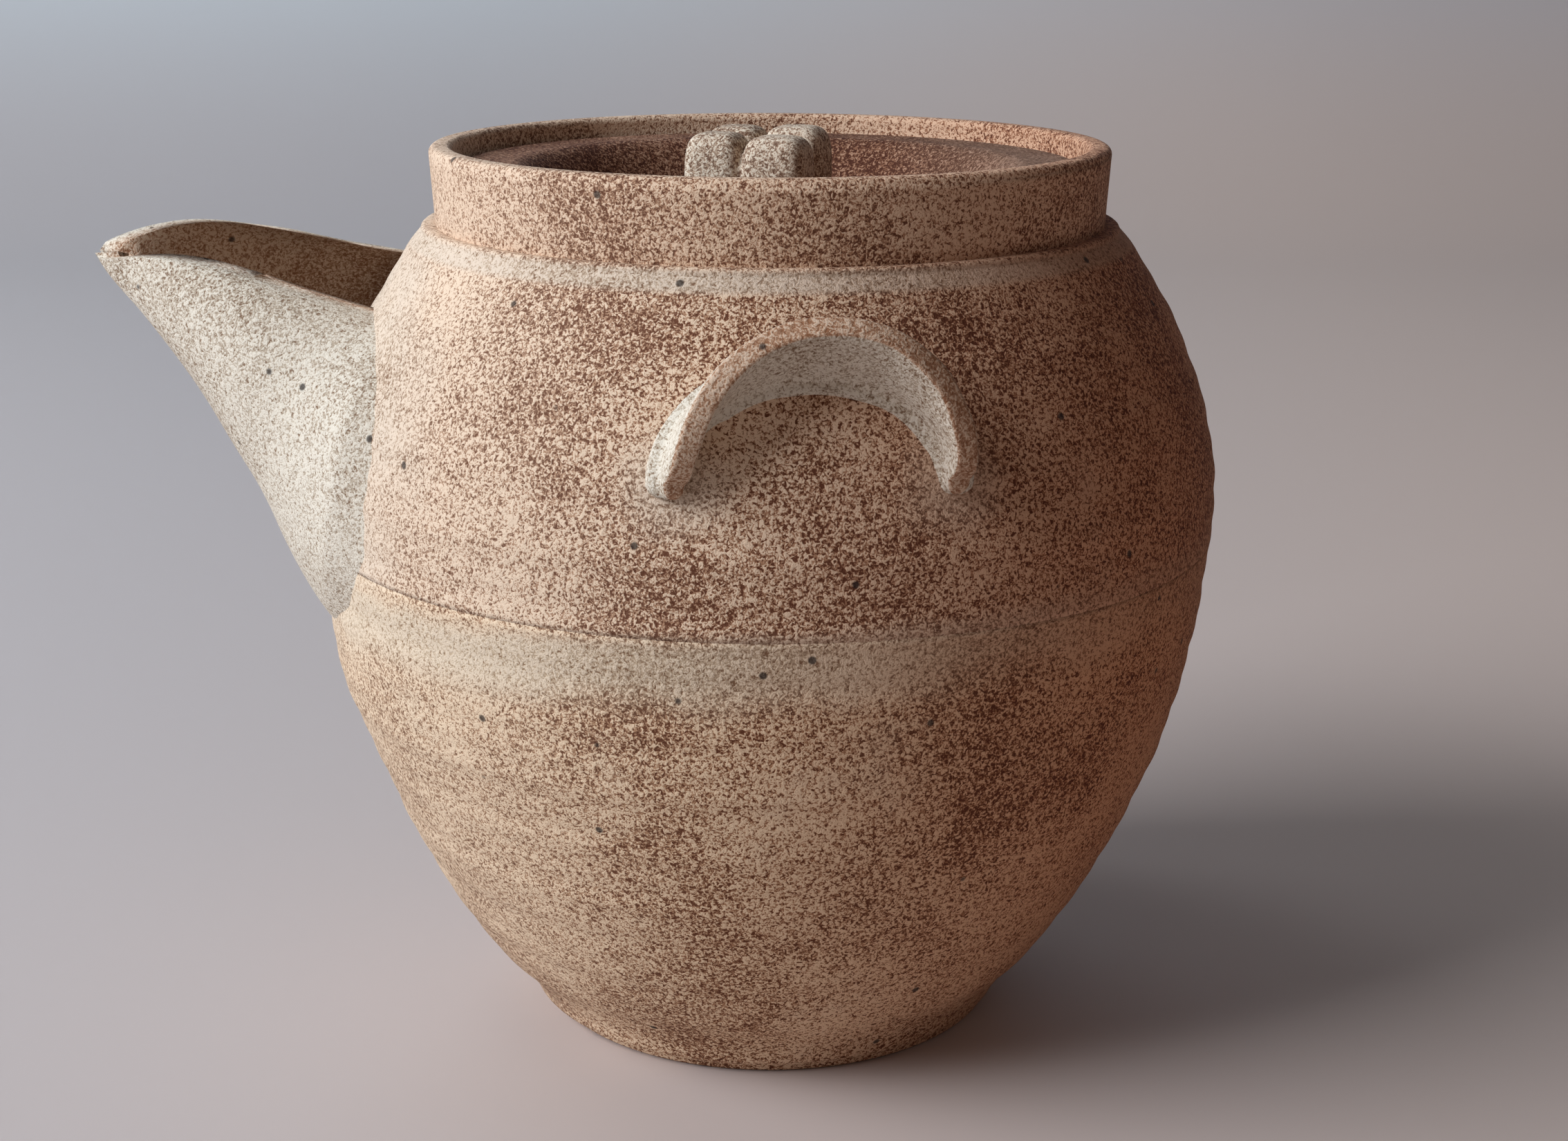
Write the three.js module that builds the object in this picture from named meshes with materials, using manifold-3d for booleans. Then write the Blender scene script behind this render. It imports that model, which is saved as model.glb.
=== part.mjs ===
// A small unglazed stoneware teapot: a thrown jar with a beak spout, two lug ears and a dished lid.
// Millimetres, +Z up. The origin is the middle of the flat foot. The spout points along -X.
import * as THREE from 'three';
import { mergeVertices } from 'three/addons/utils/BufferGeometryUtils.js';
import Module from 'manifold-3d';

const wasm = await Module();
wasm.setup();

// Thrown jar: one curve from the foot to the belly and one from the belly to the neck
const FOOT_RADIUS = 25;
const BELLY_RADIUS = 47;
const BELLY_HEIGHT = 58;
const BELLY_FALL = 2.1;
const NECK_RADIUS = 36;
const NECK_HEIGHT = 85.4;
const SHOULDER_FALL = 1.92;
const WALL = 3;
const BASE_THICKNESS = 4;
const WAIST_HEIGHT = 53.6;
const JOIN_GAP = 0.3;
const ROUND_STEPS = 48;
const PROFILE_STEPS = 11;

// Collar with the gallery that carries the lid
const COLLAR_RADIUS = 35.2;
const COLLAR_RISE = 8.2;
const RIM_WIDTH = 2.4;
const RIM_ROUNDING = 0.7;
const GALLERY_DEPTH = 4.9;
const GALLERY_BORE = 28;

// Lid: a flat brim round a dish with a cut knob
const LID_CLEARANCE = 0.8;
const BRIM_DROP = 2;
const LID_PLUG_CLEARANCE = 0.7;
const DISH_MOUTH_RADIUS = 26.6;
const DISH_FLOOR_RADIUS = 18.5;
const DISH_DEPTH = 7.6;
const DISH_THICKNESS = 2.6;
const KNOB_SIDE = 12.6;
const KNOB_CORNER = 2.6;
const KNOB_PROUD = 1.5;
const KNOB_SHIFT = -1.3;
const KNOB_TURN = -18;
const KNOB_ROUNDING = 1.6;
const KNOB_CURVE_STEPS = 4;
const KNOB_BEVEL_STEPS = 3;
const GROOVE_WIDTH = 2.2;
const GROOVE_DEPTH = 6;

// Beak spout: an open channel whose keel climbs from under the belly to the lip
const SPOUT_TIP_REACH = 70.6;
const SPOUT_TIP_HEIGHT = 82;
const SPOUT_TIP_DEPTH = 2.6;
const SPOUT_TIP_RAKE = 1.4;
const SPOUT_TIP_HALF = 0.9;
const SPOUT_KEEL_HEIGHT = 42;
const SPOUT_KEEL_BOW = 1;
const SPOUT_LIP_HEIGHT = 77.5;
const SPOUT_LIP_CROWN = 2.4;
const SPOUT_CROWN_PLACE = 2.2;
const SPOUT_LIP_SKEW = 1.9;
const SPOUT_SKEW_FADE = 0.25;
const SPOUT_LIP_HALF = 12;
const SPOUT_SIDE_HALF = 25;
const SPOUT_SIDE_TAPER = 0.8;
const SPOUT_SIDE_SHARE = 0.4;
const SPOUT_WALL = 2.5;
const SPOUT_ROOT_SINK = 6;
const SPOUT_STEPS = 12;
const SPOUT_SIDE_STEPS = 6;

// Strainer: a pierced dome in the wall behind the spout
const STRAINER_SILL = 11.4;
const STRAINER_RADIUS = 10.5;
const STRAINER_THICKNESS = 2.2;
const STRAINER_RISE = 3.6;
const PIERCING_RADIUS = 0.95;
const PIERCING_PITCH = 3.9;
const PIERCING_RINGS = 2;
const PIERCING_SIDES = 8;
const DOME_STEPS = 4;

// Ears: strips bent to an arch and stood on edge on the shoulder
const EAR_AZIMUTH = 5;
const EAR_TURN = 17;
const EAR_SPAN = 28;
const EAR_FOOT_HEIGHT = 67.6;
const EAR_ARCH_RISE = 9.6;
const EAR_STRIP = 2.6;
const EAR_REACH = 7.6;
const EAR_END_REACH = 3.2;
const EAR_LEG_TILT = 14;
const EAR_CROWN_TILT = 44;
const EAR_ROOT_SINK = 4;
const EAR_STEPS = 22;

const rimHeight = NECK_HEIGHT + COLLAR_RISE;
const strainerHeight = WAIST_HEIGHT + STRAINER_SILL;

const radians = THREE.MathUtils.degToRad;
const mix = THREE.MathUtils.lerp;

function clay(color, roughness = 0.95) {
  return new THREE.MeshStandardMaterial({ color, roughness, metalness: 0 });
}

// Shared vertices only, and no triangle that has lost its area
function welded(geometry) {
  geometry.deleteAttribute('normal');
  geometry.deleteAttribute('uv');
  const merged = mergeVertices(geometry, 1e-4);
  const source = merged.getIndex().array;
  const kept = [];
  for (let i = 0; i < source.length; i += 3) {
    const [a, b, c] = [source[i], source[i + 1], source[i + 2]];
    if (a !== b && b !== c && c !== a) {
      kept.push(a, b, c);
    }
  }
  merged.setIndex(kept);
  return merged;
}

function solidOf(geometry) {
  const merged = welded(geometry);
  const vertProperties = new Float32Array(merged.getAttribute('position').array);
  const triVerts = new Uint32Array(merged.getIndex().array);
  return new wasm.Manifold(new wasm.Mesh({ numProp: 3, vertProperties, triVerts }));
}

function geometryOf(solid) {
  const { vertProperties, triVerts } = solid.getMesh();
  const geometry = new THREE.BufferGeometry();
  geometry.setAttribute('position', new THREE.BufferAttribute(vertProperties, 3));
  geometry.setIndex(new THREE.BufferAttribute(triVerts, 1));
  return geometry;
}

function named(name, geometry, material) {
  geometry.computeVertexNormals();
  const mesh = new THREE.Mesh(geometry, material);
  mesh.name = name;
  return mesh;
}

// A closed outline of [radius, height] pairs, anticlockwise, turned round Z
function turned(outline) {
  const points = outline.map(([radius, height]) => new THREE.Vector2(radius, height));
  points.push(points[0].clone());
  const geometry = new THREE.LatheGeometry(points, ROUND_STEPS);
  geometry.rotateX(Math.PI / 2);
  return welded(geometry);
}

// Rings of equal length joined into one skin. Point i of a ring faces point last - i across the strip.
function lofted(rings) {
  const size = rings[0].length;
  const positions = rings.flat().flatMap((point) => [point.x, point.y, point.z]);
  const index = [];
  for (let r = 0; r + 1 < rings.length; r += 1) {
    for (let i = 0; i < size; i += 1) {
      const a = r * size + i;
      const b = r * size + ((i + 1) % size);
      index.push(a, b + size, b, a, a + size, b + size);
    }
  }
  const end = (rings.length - 1) * size;
  for (let i = 0; i + 1 < size / 2; i += 1) {
    const j = size - 1 - i;
    index.push(i, j - 1, j, i, i + 1, j - 1);
    index.push(end + i, end + j, end + j - 1, end + i, end + j - 1, end + i + 1);
  }
  const geometry = new THREE.BufferGeometry();
  geometry.setAttribute('position', new THREE.Float32BufferAttribute(positions, 3));
  geometry.setIndex(index);
  return geometry;
}

function jarRadius(height) {
  if (height < BELLY_HEIGHT) {
    const below = Math.min(1, (BELLY_HEIGHT - height) / BELLY_HEIGHT);
    return BELLY_RADIUS - (BELLY_RADIUS - FOOT_RADIUS) * below ** BELLY_FALL;
  }
  const above = (height - BELLY_HEIGHT) / (NECK_HEIGHT - BELLY_HEIGHT);
  return BELLY_RADIUS - (BELLY_RADIUS - NECK_RADIUS) * above ** SHOULDER_FALL;
}

function jarSlope(height) {
  const step = 0.5;
  return (jarRadius(height + step) - jarRadius(height - step)) / (2 * step);
}

// The wall is measured square to the surface, so its level width grows with the slope
function innerRadius(height) {
  return jarRadius(height) - WALL * Math.hypot(1, jarSlope(height));
}

function heights(from, to, steps) {
  return Array.from({ length: steps + 1 }, (_, i) => from + ((to - from) * i) / steps);
}

// The jar's outside, grown or shrunk, as a solid that trims what is luted on to it
function jarEnvelope(growth) {
  const levels = heights(0, NECK_HEIGHT, 2 * PROFILE_STEPS);
  const side = levels.map((z) => [jarRadius(z) + growth, z]);
  return solidOf(turned([[0, 0], ...side, [0, NECK_HEIGHT]]));
}

function lowerBowl() {
  const top = WAIST_HEIGHT - JOIN_GAP / 2;
  const outside = heights(0, top, PROFILE_STEPS).map((z) => [jarRadius(z), z]);
  const inside = heights(top, BASE_THICKNESS, PROFILE_STEPS).map((z) => [innerRadius(z), z]);
  return turned([[0, 0], ...outside, ...inside, [0, BASE_THICKNESS]]);
}

function strainerFrame() {
  const tilt = Math.atan(-jarSlope(strainerHeight));
  const outward = new THREE.Vector3(-Math.cos(tilt), 0, Math.sin(tilt));
  const turn = new THREE.Quaternion().setFromUnitVectors(new THREE.Vector3(0, 0, 1), outward);
  const centre = new THREE.Vector3(-jarRadius(strainerHeight), 0, strainerHeight);
  return new THREE.Matrix4().compose(centre, turn, new THREE.Vector3(1, 1, 1));
}

function pinAlongZ(radius, low, high, sides) {
  const pin = new THREE.CylinderGeometry(radius, radius, high - low, sides);
  pin.rotateX(Math.PI / 2);
  pin.translate(0, 0, (low + high) / 2);
  return pin;
}

// Upper half of the jar, with the round window that the strainer fills
function shoulder() {
  const bottom = WAIST_HEIGHT + JOIN_GAP / 2;
  const outside = heights(bottom, NECK_HEIGHT, PROFILE_STEPS).map((z) => [jarRadius(z), z]);
  const inside = heights(NECK_HEIGHT, bottom, PROFILE_STEPS).map((z) => [innerRadius(z), z]);
  const shell = solidOf(turned([...outside, ...inside]));
  const reach = 4 * WALL;
  const window = pinAlongZ(STRAINER_RADIUS + JOIN_GAP, -reach, reach, ROUND_STEPS / 2);
  return geometryOf(shell.subtract(solidOf(window.applyMatrix4(strainerFrame()))));
}

function collar() {
  const bottom = NECK_HEIGHT + JOIN_GAP;
  const mouth = COLLAR_RADIUS - RIM_WIDTH;
  const gallery = rimHeight - GALLERY_DEPTH;
  return turned([
    [COLLAR_RADIUS, bottom],
    [COLLAR_RADIUS, rimHeight - RIM_ROUNDING],
    [COLLAR_RADIUS - RIM_ROUNDING, rimHeight],
    [mouth + RIM_ROUNDING, rimHeight],
    [mouth, rimHeight - RIM_ROUNDING],
    [mouth, gallery],
    [GALLERY_BORE, gallery],
    [GALLERY_BORE, bottom],
  ]);
}

function lidDish() {
  const brimTop = rimHeight - BRIM_DROP;
  const brimUnder = rimHeight - GALLERY_DEPTH + JOIN_GAP;
  const floor = brimTop - DISH_DEPTH;
  const brimRadius = COLLAR_RADIUS - RIM_WIDTH - LID_CLEARANCE;
  return turned([
    [0, floor - DISH_THICKNESS],
    [DISH_FLOOR_RADIUS + DISH_THICKNESS / 2, floor - DISH_THICKNESS],
    [GALLERY_BORE - LID_PLUG_CLEARANCE, brimUnder - DISH_THICKNESS],
    [GALLERY_BORE - LID_PLUG_CLEARANCE, brimUnder],
    [brimRadius, brimUnder],
    [brimRadius, brimTop],
    [DISH_MOUTH_RADIUS, brimTop],
    [DISH_FLOOR_RADIUS + 1, floor + 1],
    [DISH_FLOOR_RADIUS - 1, floor],
    [0, floor],
  ]);
}

// A V across the knob's top, run past both sides
function groove(turn) {
  const vee = new THREE.Shape();
  vee.moveTo(-GROOVE_WIDTH / 2, 1);
  vee.lineTo(0, -GROOVE_DEPTH);
  vee.lineTo(GROOVE_WIDTH / 2, 1);
  const length = 2 * KNOB_SIDE;
  const cut = new THREE.ExtrudeGeometry(vee, { depth: length, bevelEnabled: false });
  cut.translate(0, 0, -length / 2);
  cut.rotateX(Math.PI / 2);
  cut.rotateZ(turn);
  return cut;
}

// Square block with rounded corners, cut crosswise into four lobes
function lidKnob() {
  const foot = rimHeight - BRIM_DROP - DISH_DEPTH + JOIN_GAP;
  const top = rimHeight + KNOB_PROUD;
  const half = KNOB_SIDE / 2 - KNOB_ROUNDING;
  const corner = KNOB_CORNER;
  const square = new THREE.Shape();
  square.absarc(half - corner, half - corner, corner, 0, Math.PI / 2);
  square.absarc(corner - half, half - corner, corner, Math.PI / 2, Math.PI);
  square.absarc(corner - half, corner - half, corner, Math.PI, 1.5 * Math.PI);
  square.absarc(half - corner, corner - half, corner, 1.5 * Math.PI, 2 * Math.PI);
  const block = new THREE.ExtrudeGeometry(square, {
    depth: top - foot - 2 * KNOB_ROUNDING,
    bevelThickness: KNOB_ROUNDING,
    bevelSize: KNOB_ROUNDING,
    bevelSegments: KNOB_BEVEL_STEPS,
    curveSegments: KNOB_CURVE_STEPS,
  });
  block.translate(0, 0, foot + KNOB_ROUNDING);
  const grooves = [0, Math.PI / 2].map((turn) => solidOf(groove(turn).translate(0, 0, top)));
  const lobes = grooves.reduce((left, cut) => left.subtract(cut), solidOf(block));
  const geometry = geometryOf(lobes);
  geometry.rotateZ(radians(KNOB_TURN));
  geometry.translate(KNOB_SHIFT, 0, 0);
  return geometry;
}

// Where the near and far lips and the keel stand at a share of the way from the root to the tip
function beakLines(share, inset) {
  const rootKeel = SPOUT_ROOT_SINK - jarRadius(SPOUT_KEEL_HEIGHT);
  const tip = inset - SPOUT_TIP_REACH;
  const keelFoot = SPOUT_KEEL_HEIGHT - SPOUT_ROOT_SINK;
  const crown = SPOUT_LIP_CROWN * Math.sin(Math.PI * share ** SPOUT_CROWN_PLACE);
  return {
    lipX: mix(SPOUT_ROOT_SINK - NECK_RADIUS, tip, share),
    lipZ: mix(SPOUT_LIP_HEIGHT, SPOUT_TIP_HEIGHT, share) + crown,
    keelX: mix(rootKeel, tip + SPOUT_TIP_RAKE, share) - SPOUT_KEEL_BOW * Math.sin(2 * Math.PI * share),
    keelZ: mix(keelFoot, SPOUT_TIP_HEIGHT - SPOUT_TIP_DEPTH, share) + inset,
    skew: SPOUT_LIP_SKEW * (1 - share) ** SPOUT_SKEW_FADE,
  };
}

// One cross-section of the beak, from the near lip round the keel to the far lip and back over the top.
// inset shrinks it for the channel and lift opens that channel's top.
function beakSection(share, inset, lift) {
  const line = beakLines(share, inset);
  const least = inset > 0 ? JOIN_GAP / 2 : SPOUT_TIP_HALF;
  const lipHalf = Math.max(SPOUT_LIP_HALF * Math.sqrt(1 - share) - inset, least);
  const sideHalf = Math.max(SPOUT_SIDE_HALF * (1 - share) ** SPOUT_SIDE_TAPER - inset, lipHalf);
  const ring = [];
  const put = (y, down) => {
    const lean = line.skew * Math.min(1, Math.max(-1, y / lipHalf)) * (1 - down);
    const z = mix(line.lipZ, line.keelZ, down) + lean + (down === 0 ? lift : 0);
    ring.push(new THREE.Vector3(mix(line.lipX, line.keelX, down), y, z));
  };
  const upper = (side, turn) => {
    const y = mix(lipHalf, sideHalf, Math.cos(turn));
    put(side * y, SPOUT_SIDE_SHARE * (1 - Math.sin(turn)));
  };
  for (let i = 0; i < SPOUT_SIDE_STEPS; i += 1) {
    upper(-1, (Math.PI / 2) * (1 - i / SPOUT_SIDE_STEPS));
  }
  for (let i = 0; i <= 2 * SPOUT_SIDE_STEPS; i += 1) {
    const turn = (Math.PI / 2) * (i / SPOUT_SIDE_STEPS);
    put(-sideHalf * Math.cos(turn), SPOUT_SIDE_SHARE + (1 - SPOUT_SIDE_SHARE) * Math.sin(turn));
  }
  for (let i = SPOUT_SIDE_STEPS - 1; i >= 0; i -= 1) {
    upper(1, (Math.PI / 2) * (1 - i / SPOUT_SIDE_STEPS));
  }
  return ring;
}

function beak(inset, lift) {
  const rings = heights(0, 1, SPOUT_STEPS).map((share) => beakSection(share, inset, lift));
  return solidOf(lofted(rings));
}

function spout() {
  const channel = beak(SPOUT_WALL, 2 * SPOUT_WALL);
  return geometryOf(beak(0, 0).subtract(channel).subtract(jarEnvelope(JOIN_GAP)));
}

function strainer() {
  const seat = -WALL / 2;
  const dome = (inset) => heights(0, Math.PI / 2, DOME_STEPS).map((turn) => [
    (STRAINER_RADIUS - inset) * Math.cos(turn),
    seat - WALL - (STRAINER_RISE - inset) * Math.sin(turn),
  ]);
  const inner = dome(0);
  const outer = dome(STRAINER_THICKNESS).reverse();
  const edge = [[STRAINER_RADIUS - STRAINER_THICKNESS, seat], [STRAINER_RADIUS, seat]];
  let pierced = solidOf(turned([...outer, ...edge, ...inner].reverse()));
  for (let ring = 0; ring <= PIERCING_RINGS; ring += 1) {
    const count = Math.max(1, 6 * ring);
    for (let i = 0; i < count; i += 1) {
      const turn = (2 * Math.PI * i) / count;
      const hole = pinAlongZ(PIERCING_RADIUS, -4 * WALL, 0, PIERCING_SIDES);
      const away = ring * PIERCING_PITCH;
      hole.translate(away * Math.cos(turn), away * Math.sin(turn), 0);
      pierced = pierced.subtract(solidOf(hole));
    }
  }
  const geometry = geometryOf(pierced);
  geometry.applyMatrix4(strainerFrame());
  return geometry;
}

// side is 1 for the ear on -Y and -1 for its mirror image on +Y
function ear(side) {
  const forward = radians(EAR_TURN);
  const place = (turn) => {
    const z = EAR_FOOT_HEIGHT + EAR_ARCH_RISE * Math.sin(turn);
    const radius = jarRadius(z);
    const azimuth = radians(EAR_AZIMUTH) - ((EAR_SPAN - EAR_STRIP) / 2 / radius) * Math.cos(turn);
    return new THREE.Vector3(radius * Math.sin(azimuth), -radius * Math.cos(azimuth), z);
  };
  const rings = heights(0, Math.PI, EAR_STEPS).map((turn) => {
    const tilt = radians(mix(EAR_LEG_TILT, EAR_CROWN_TILT, Math.sin(turn)));
    const out = new THREE.Vector3(Math.sin(forward), -Math.cos(forward), 0).multiplyScalar(Math.cos(tilt));
    out.z = Math.sin(tilt);
    const small = 0.01;
    const along = place(turn + small).sub(place(turn - small)).normalize();
    const across = new THREE.Vector3().crossVectors(out, along).normalize();
    const corner = (rise, step) => place(turn).addScaledVector(out, rise).addScaledVector(across, step);
    const half = EAR_STRIP / 2;
    const reach = mix(EAR_END_REACH, EAR_REACH, Math.sqrt(Math.max(0, Math.sin(turn))));
    return [
      corner(-EAR_ROOT_SINK, -half),
      corner(reach, -half),
      corner(reach, half),
      corner(-EAR_ROOT_SINK, half),
    ];
  });
  const strip = solidOf(lofted(rings)).subtract(jarEnvelope(JOIN_GAP));
  const geometry = geometryOf(side > 0 ? strip : strip.mirror([0, 1, 0]));
  return geometry;
}

const BODY_CLAY = 0x9a6f52;
const PALE_CLAY = 0xc2ab90;

const teapot = new THREE.Group();
teapot.add(named('lower_bowl', lowerBowl(), clay(BODY_CLAY)));
teapot.add(named('shoulder', shoulder(), clay(BODY_CLAY)));
teapot.add(named('neck_collar', collar(), clay(0xa07a5c)));
teapot.add(named('spout', spout(), clay(PALE_CLAY)));
teapot.add(named('strainer', strainer(), clay(BODY_CLAY)));
teapot.add(named('ear_near', ear(1), clay(PALE_CLAY)));
teapot.add(named('ear_far', ear(-1), clay(PALE_CLAY)));
teapot.add(named('lid_dish', lidDish(), clay(0x8a6450)));
teapot.add(named('lid_knob', lidKnob(), clay(0x9c8672)));

export default teapot;
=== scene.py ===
"""Looks of a small unglazed stoneware teapot. Metres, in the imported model's frame: +Z up, spout along -X."""
import math

import bmesh
import bpy
import numpy as np
from mathutils import Matrix, Vector


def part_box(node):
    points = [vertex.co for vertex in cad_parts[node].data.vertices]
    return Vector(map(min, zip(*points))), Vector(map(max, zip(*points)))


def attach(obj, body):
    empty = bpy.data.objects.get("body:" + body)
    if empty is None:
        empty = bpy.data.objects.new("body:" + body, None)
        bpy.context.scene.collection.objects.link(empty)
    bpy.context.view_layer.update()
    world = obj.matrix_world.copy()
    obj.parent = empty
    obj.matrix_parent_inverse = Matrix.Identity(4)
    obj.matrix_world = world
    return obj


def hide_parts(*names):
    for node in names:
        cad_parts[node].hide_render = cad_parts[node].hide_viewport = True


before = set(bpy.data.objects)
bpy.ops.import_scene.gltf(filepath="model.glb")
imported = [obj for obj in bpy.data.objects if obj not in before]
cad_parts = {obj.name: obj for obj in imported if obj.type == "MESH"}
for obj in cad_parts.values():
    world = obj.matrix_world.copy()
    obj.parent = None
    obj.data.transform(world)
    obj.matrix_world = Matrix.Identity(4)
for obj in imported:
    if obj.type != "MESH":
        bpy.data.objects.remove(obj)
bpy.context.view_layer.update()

MM = 0.001

collar_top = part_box("neck_collar")[1]
dish_low, dish_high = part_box("lid_dish")
knob_low, knob_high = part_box("lid_knob")

# Jar, in millimetres, as in the construction model
FOOT_RADIUS = 25.0
BELLY_RADIUS = 47.0
BELLY_HEIGHT = 58.0
BELLY_FALL = 2.1
NECK_RADIUS = 36.0
NECK_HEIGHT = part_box("shoulder")[1].z / MM
SHOULDER_FALL = 1.92
WALL = 3.0
BASE_THICKNESS = 4.0
WAIST_HEIGHT = 53.6
PAST_NECK = 1.05

# Details of the jar's skins, in millimetres
ROUND_STEPS = 288
BOWL_STEPS = 84
SHOULDER_STEPS = 56
INSIDE_STEPS = 24
FOOT_EDGE = 0.8
FOOT_FLAT = 14.0
OUTSIDE_START = 1.6
INSIDE_START = 6.0
NECK_TRIM = 0.6
NECK_BEAD = 0.45
NECK_BEAD_SINK = 0.2
NECK_BEAD_SHARE = 0.3

# Unevenness of the thrown wall: sizes in millimetres, waves in radians per millimetre of height
OVAL_SIZE, OVAL_PHASE = 0.16, 0.7
THREE_SIDED_SIZE, THREE_SIDED_PHASE = 0.10, -1.1
FINE_RING_SIZE, FINE_RING_WAVE, FINE_RING_DRIFT = 0.05, 1.9, 0.6
COARSE_RING_SIZE, COARSE_RING_WAVE, COARSE_RING_PHASE = 0.06, 0.83, 1.3
DENT_SIZE, DENT_WAVE, DENT_CROSS_WAVE = 0.10, 0.11, 0.17
SWELL_SIZE, SWELL_HEIGHT, SWELL_SPREAD, SWELL_PHASE = 0.25, 31.0, 5.0, -0.4
FOOT_TUCK_SIZE, FOOT_TUCK_HEIGHT, FOOT_TUCK_SPREAD = -0.9, 4.2, 3.6
WAIST_BEAD_SIZE, WAIST_BEAD_RISE, WAIST_BEAD_SPREAD = 0.16, 0.7, 1.6
BULGE_SIZE, BULGE_HEIGHT, BULGE_SPREAD = 0.55, 40.0, 9.0
LEAN_SIZE, LEAN_TO_LEFT, LEAN_TOP, LEAN_DEPTH = 0.3, 0.45, 54.0, 12.0
FOOT_FADE = 3.0
COLLAR_FADE, COLLAR_FADE_DEPTH = 88.0, 4.0
WAIST_TILT = 0.046

# Collar, in millimetres
RIM_HEIGHT = collar_top.z / MM
COLLAR_RADIUS = collar_top.x / MM
RIM_WIDTH = 2.4
COLLAR_LIP = 0.75
COLLAR_FLARE = 0.5
COLLAR_OVERLAP = 0.4
COLLAR_STEPS = 14
COLLAR_SHARE = 0.25
COLLAR_LIP_SHARE = 0.2
GALLERY_DEPTH = 4.9
GALLERY_HEIGHT = RIM_HEIGHT - GALLERY_DEPTH
GALLERY_BORE = 28.0
GALLERY_CORNER = 0.5
GALLERY_EDGE = 0.4

# Lid, in millimetres
LID_SEAT = 0.3
LID_PLUG_GAP = 0.7
LID_PLUG_DEPTH = 2.4
LID_UNDER_ROUND = 0.5
LID_TOP_ROUND = 0.6
LID_SHARE = 0.1
DISH_DEPTH = 7.6
DISH_MOUTH = 26.6
DISH_FLOOR = 18.5
DISH_MIDDLE = 9.0
DISH_STEPS = 12
# Points as (outwards of the floor, above the bottom) and (outwards of the mouth, below the top)
UNDER_EDGE = ((0.6, 0.0), (1.6, 0.4))
BRIM_SLOPE = ((2.4, 0.1), (0.8, 0.05))


def jar_radius(z):
    """Outer radius of the jar at a height, both in millimetres."""
    z = np.asarray(z, float)
    below = np.clip((BELLY_HEIGHT - z) / BELLY_HEIGHT, 0, 1)
    above = np.clip((z - BELLY_HEIGHT) / (NECK_HEIGHT - BELLY_HEIGHT), 0, PAST_NECK)
    lower = BELLY_RADIUS - (BELLY_RADIUS - FOOT_RADIUS) * below ** BELLY_FALL
    upper = BELLY_RADIUS - (BELLY_RADIUS - NECK_RADIUS) * above ** SHOULDER_FALL
    return np.where(z < BELLY_HEIGHT, lower, upper)


def jar_slope(z):
    """Change of the jar's radius over one millimetre of height."""
    return jar_radius(z + 0.5) - jar_radius(z - 0.5)


def inner_radius(z):
    return jar_radius(z) - WALL * np.hypot(1, jar_slope(z))


def above_jar(points):
    """Distance of points outside the jar's surface, in millimetres, about square to it."""
    rho, z = np.hypot(points[..., 0], points[..., 1]), points[..., 2]
    return (rho - jar_radius(z)) / np.hypot(1, jar_slope(z))


def bell(value, middle, spread):
    """1 at the middle, falling off smoothly on both sides."""
    return np.exp(-(((value - middle) / spread) ** 2))


def waist_line(theta):
    """Height of the pale band's upper edge round the jar; it climbs from the spout to the other side."""
    return WAIST_HEIGHT + WAIST_TILT * BELLY_RADIUS * np.cos(theta)


def handmade(theta, z):
    """Small unevenness of the thrown wall, in millimetres outwards."""
    ovality = OVAL_SIZE * np.cos(2 * theta + OVAL_PHASE)
    ovality = ovality + THREE_SIDED_SIZE * np.cos(3 * theta + THREE_SIDED_PHASE)
    rings = FINE_RING_SIZE * np.sin(z * FINE_RING_WAVE + FINE_RING_DRIFT * np.sin(theta))
    rings = rings + COARSE_RING_SIZE * np.sin(z * COARSE_RING_WAVE + COARSE_RING_PHASE)
    dents = DENT_SIZE * np.sin(5 * theta + z * DENT_WAVE) * np.sin(z * DENT_CROSS_WAVE + 2 * theta)
    swell = SWELL_SIZE * bell(z, SWELL_HEIGHT, SWELL_SPREAD) * np.cos(theta + SWELL_PHASE)
    fade = np.clip(z / FOOT_FADE, 0, 1) * np.clip((COLLAR_FADE - z) / COLLAR_FADE_DEPTH, 0, 1)
    foot_tuck = FOOT_TUCK_SIZE * bell(z, FOOT_TUCK_HEIGHT, FOOT_TUCK_SPREAD)
    waist = WAIST_BEAD_SIZE * bell(z - waist_line(theta), WAIST_BEAD_RISE, WAIST_BEAD_SPREAD)
    low = np.clip((LEAN_TOP - z) / LEAN_DEPTH, 0, 1)
    left = np.clip(-np.cos(theta), 0, 1) ** 2
    lean = low * (LEAN_SIZE - LEAN_TO_LEFT * np.cos(theta))
    lean = lean + BULGE_SIZE * left * bell(z, BULGE_HEIGHT, BULGE_SPREAD)
    return (ovality + rings + dents + swell) * fade + foot_tuck + waist + lean


def mesh_object(name, points, faces):
    mesh = bpy.data.meshes.new(name)
    mesh.from_pydata([tuple(p) for p in points], [], faces)
    mesh.validate()
    mesh.update()
    mesh.polygons.foreach_set("use_smooth", [True] * len(mesh.polygons))
    obj = bpy.data.objects.new(name, mesh)
    bpy.context.scene.collection.objects.link(obj)
    return obj


def outward_normals(obj):
    work = bmesh.new()
    work.from_mesh(obj.data)
    bmesh.ops.recalc_face_normals(work, faces=work.faces)
    work.to_mesh(obj.data)
    work.free()


def apply_modifiers(obj):
    graph = bpy.context.evaluated_depsgraph_get()
    mesh = bpy.data.meshes.new_from_object(obj.evaluated_get(graph))
    obj.modifiers.clear()
    obj.data = mesh
    mesh.polygons.foreach_set("use_smooth", [True] * len(mesh.polygons))


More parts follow.
